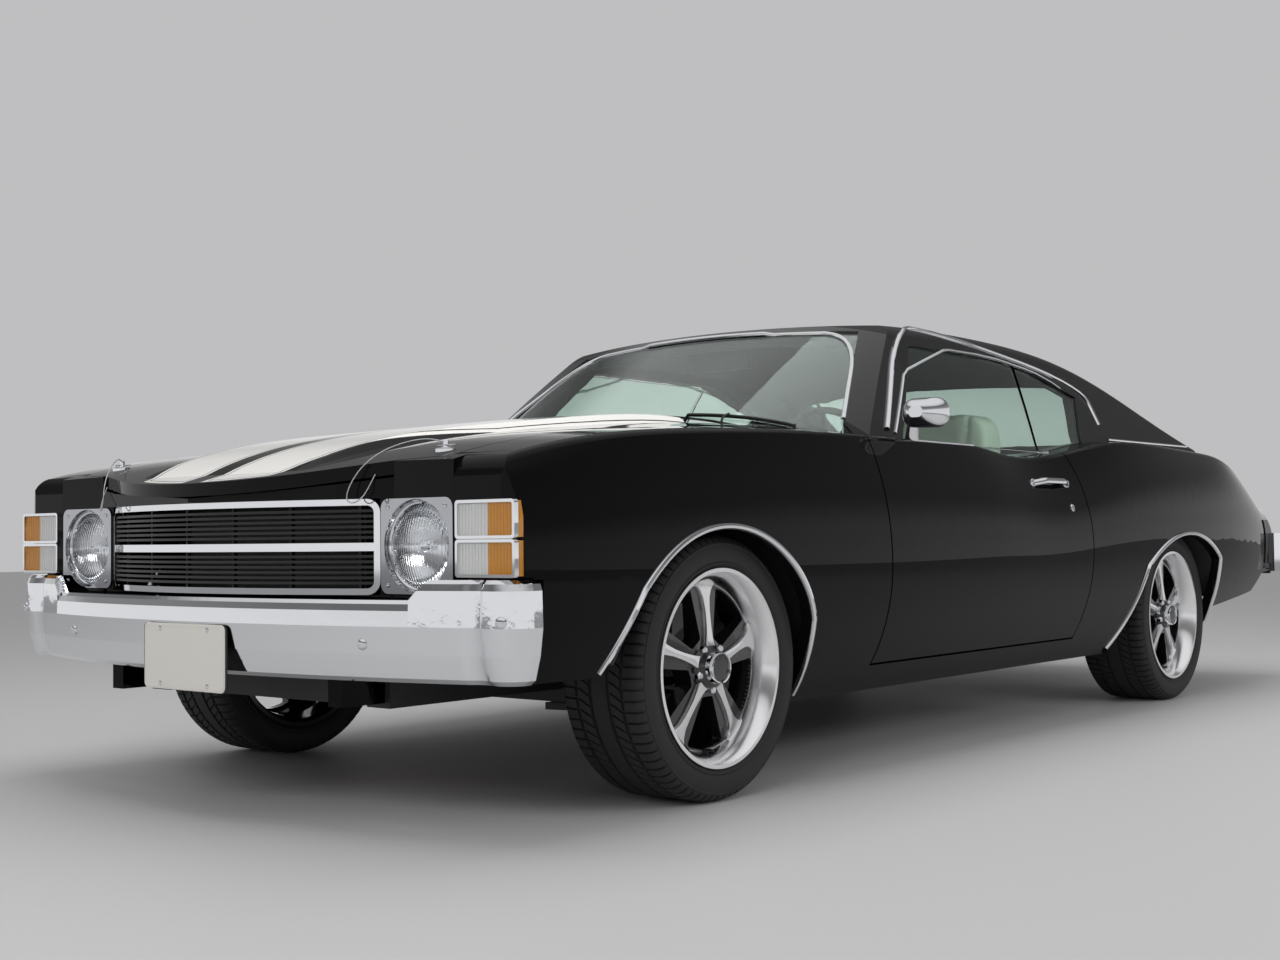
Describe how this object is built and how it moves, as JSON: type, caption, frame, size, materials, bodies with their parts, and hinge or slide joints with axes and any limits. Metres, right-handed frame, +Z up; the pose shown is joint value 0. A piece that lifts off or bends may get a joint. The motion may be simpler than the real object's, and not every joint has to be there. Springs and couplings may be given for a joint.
{
  "type": "muscle car",
  "caption": "Two-door hardtop coupe with a long striped hood, blacked-out grille, chrome bumpers, a vinyl-covered fastback roof and five-spoke wheels.",
  "frame": {"origin": "on the ground, under the centre of the car's bounding box", "axes": "+X to the car's left, +Y to its tail, +Z up"},
  "size_m": [1.9844, 4.9468, 1.3068],
  "materials": {
    "amber_lens": "clear",
    "black_paint": "gloss",
    "cast_iron": "painted",
    "chrome": "polished",
    "frame_steel": "satin",
    "grille_black": "satin",
    "hood_paint": "gloss",
    "lamp_glass": "clear",
    "marker_black": "satin",
    "mirror_black": "gloss",
    "red_lens": "clear",
    "rest_rubber": "matte",
    "seat_vinyl": "satin",
    "steel": "brushed",
    "trim_black": "satin",
    "tyre": "matte",
    "vinyl_roof": "satin",
    "wheel_alloy": "machined",
    "window_glass": "clear"
  },
  "bodies": {
    "body": {"body_side_left": "black_paint", "body_side_right": "black_paint", "chassis_frame": "frame_steel", "corner_lamps": "amber_lens", "cowl": "black_paint", "dashboard": "trim_black", "driveline": "steel", "engine": "cast_iron", "exhaust": "steel", "floor_pan": "frame_steel", "front_bumper": "chrome", "front_fender_left": "black_paint", "front_fender_right": "black_paint", "front_seats": "seat_vinyl", "front_suspension": "frame_steel", "fuel_tank": "steel", "grille": "grille_black", "grille_frame": "chrome", "headlamp_bezels": "chrome", "headlamps": "lamp_glass", "inner_mirror": "mirror_black", "lid_rests": "rest_rubber", "nose_panel": "black_paint", "quarter_windows": "window_glass", "radiator": "trim_black", "rear_axle": "frame_steel", "rear_bumper": "chrome", "rear_deck": "black_paint", "rear_seat": "seat_vinyl", "rear_window": "window_glass", "roof": "vinyl_roof", "side_markers": "marker_black", "tail_lamps": "red_lens", "tail_panel": "black_paint", "wheelhouses": "frame_steel", "windshield": "window_glass"},
    "hood": {"hood": "hood_paint", "hood_pins": "chrome", "lanyards": "steel"},
    "trunk_lid": {"trunk_lid": "black_paint"},
    "door_left": {"door_left": "black_paint", "door_glass_left": "window_glass", "door_mirror_left": "black_paint"},
    "door_right": {"door_right": "black_paint", "door_glass_right": "window_glass", "door_mirror_right": "black_paint"},
    "knuckle_left": {"knuckle_left": "cast_iron"},
    "knuckle_right": {"knuckle_right": "cast_iron"},
    "wheel_front_left": {"wheel_front_left": "wheel_alloy", "tyre_front_left": "tyre"},
    "wheel_front_right": {"wheel_front_right": "wheel_alloy", "tyre_front_right": "tyre"},
    "wheel_rear_left": {"wheel_rear_left": "wheel_alloy", "tyre_rear_left": "tyre"},
    "wheel_rear_right": {"wheel_rear_right": "wheel_alloy", "tyre_rear_right": "tyre"},
    "steering_wheel": {"steering_wheel": "trim_black"}
  },
  "joints": [
    {"name": "hood_hinge", "type": "hinge", "parent": "body", "child": "hood", "pos_m": [0, -0.8585, 0.93], "axis": [-1, 0, 0], "range_deg": [0, 45]},
    {"name": "trunk_hinge", "type": "hinge", "parent": "body", "child": "trunk_lid", "pos_m": [0, 1.7885, 0.941], "axis": [1, 0, 0], "range_deg": [0, 65]},
    {"name": "door_left_hinge", "type": "hinge", "parent": "body", "child": "door_left", "pos_m": [0.905, -0.9585, 0.58], "axis": [0, 0, -1], "range_deg": [0, 65]},
    {"name": "door_right_hinge", "type": "hinge", "parent": "body", "child": "door_right", "pos_m": [-0.905, -0.9585, 0.58], "axis": [0, 0, 1], "range_deg": [0, 65]},
    {"name": "steer_left", "type": "hinge", "parent": "body", "child": "knuckle_left", "pos_m": [0.7, -1.6035, 0.314], "axis": [0, 0, 1], "range_deg": [-33, 33]},
    {"name": "steer_right", "type": "hinge", "parent": "body", "child": "knuckle_right", "pos_m": [-0.7, -1.6035, 0.314], "axis": [0, 0, 1], "range_deg": [-33, 33]},
    {"name": "wheel_front_left_spin", "type": "hinge", "parent": "knuckle_left", "child": "wheel_front_left", "pos_m": [0.765, -1.6035, 0.314], "axis": [1, 0, 0], "continuous": true},
    {"name": "wheel_front_right_spin", "type": "hinge", "parent": "knuckle_right", "child": "wheel_front_right", "pos_m": [-0.765, -1.6035, 0.314], "axis": [1, 0, 0], "continuous": true},
    {"name": "wheel_rear_left_spin", "type": "hinge", "parent": "body", "child": "wheel_rear_left", "pos_m": [0.76, 1.2415, 0.314], "axis": [1, 0, 0], "continuous": true},
    {"name": "wheel_rear_right_spin", "type": "hinge", "parent": "body", "child": "wheel_rear_right", "pos_m": [-0.76, 1.2415, 0.314], "axis": [1, 0, 0], "continuous": true},
    {"name": "steering_column", "type": "hinge", "parent": "body", "child": "steering_wheel", "pos_m": [0.385, -0.3135, 0.838], "axis": [0, 0.9272, 0.3746], "range_deg": [-462, 462]}
  ],
  "couplings": [
    {"joint": "steer_right", "follows": "steer_left", "ratio": 1},
    {"joint": "steering_column", "follows": "steer_left", "ratio": 14}
  ]
}
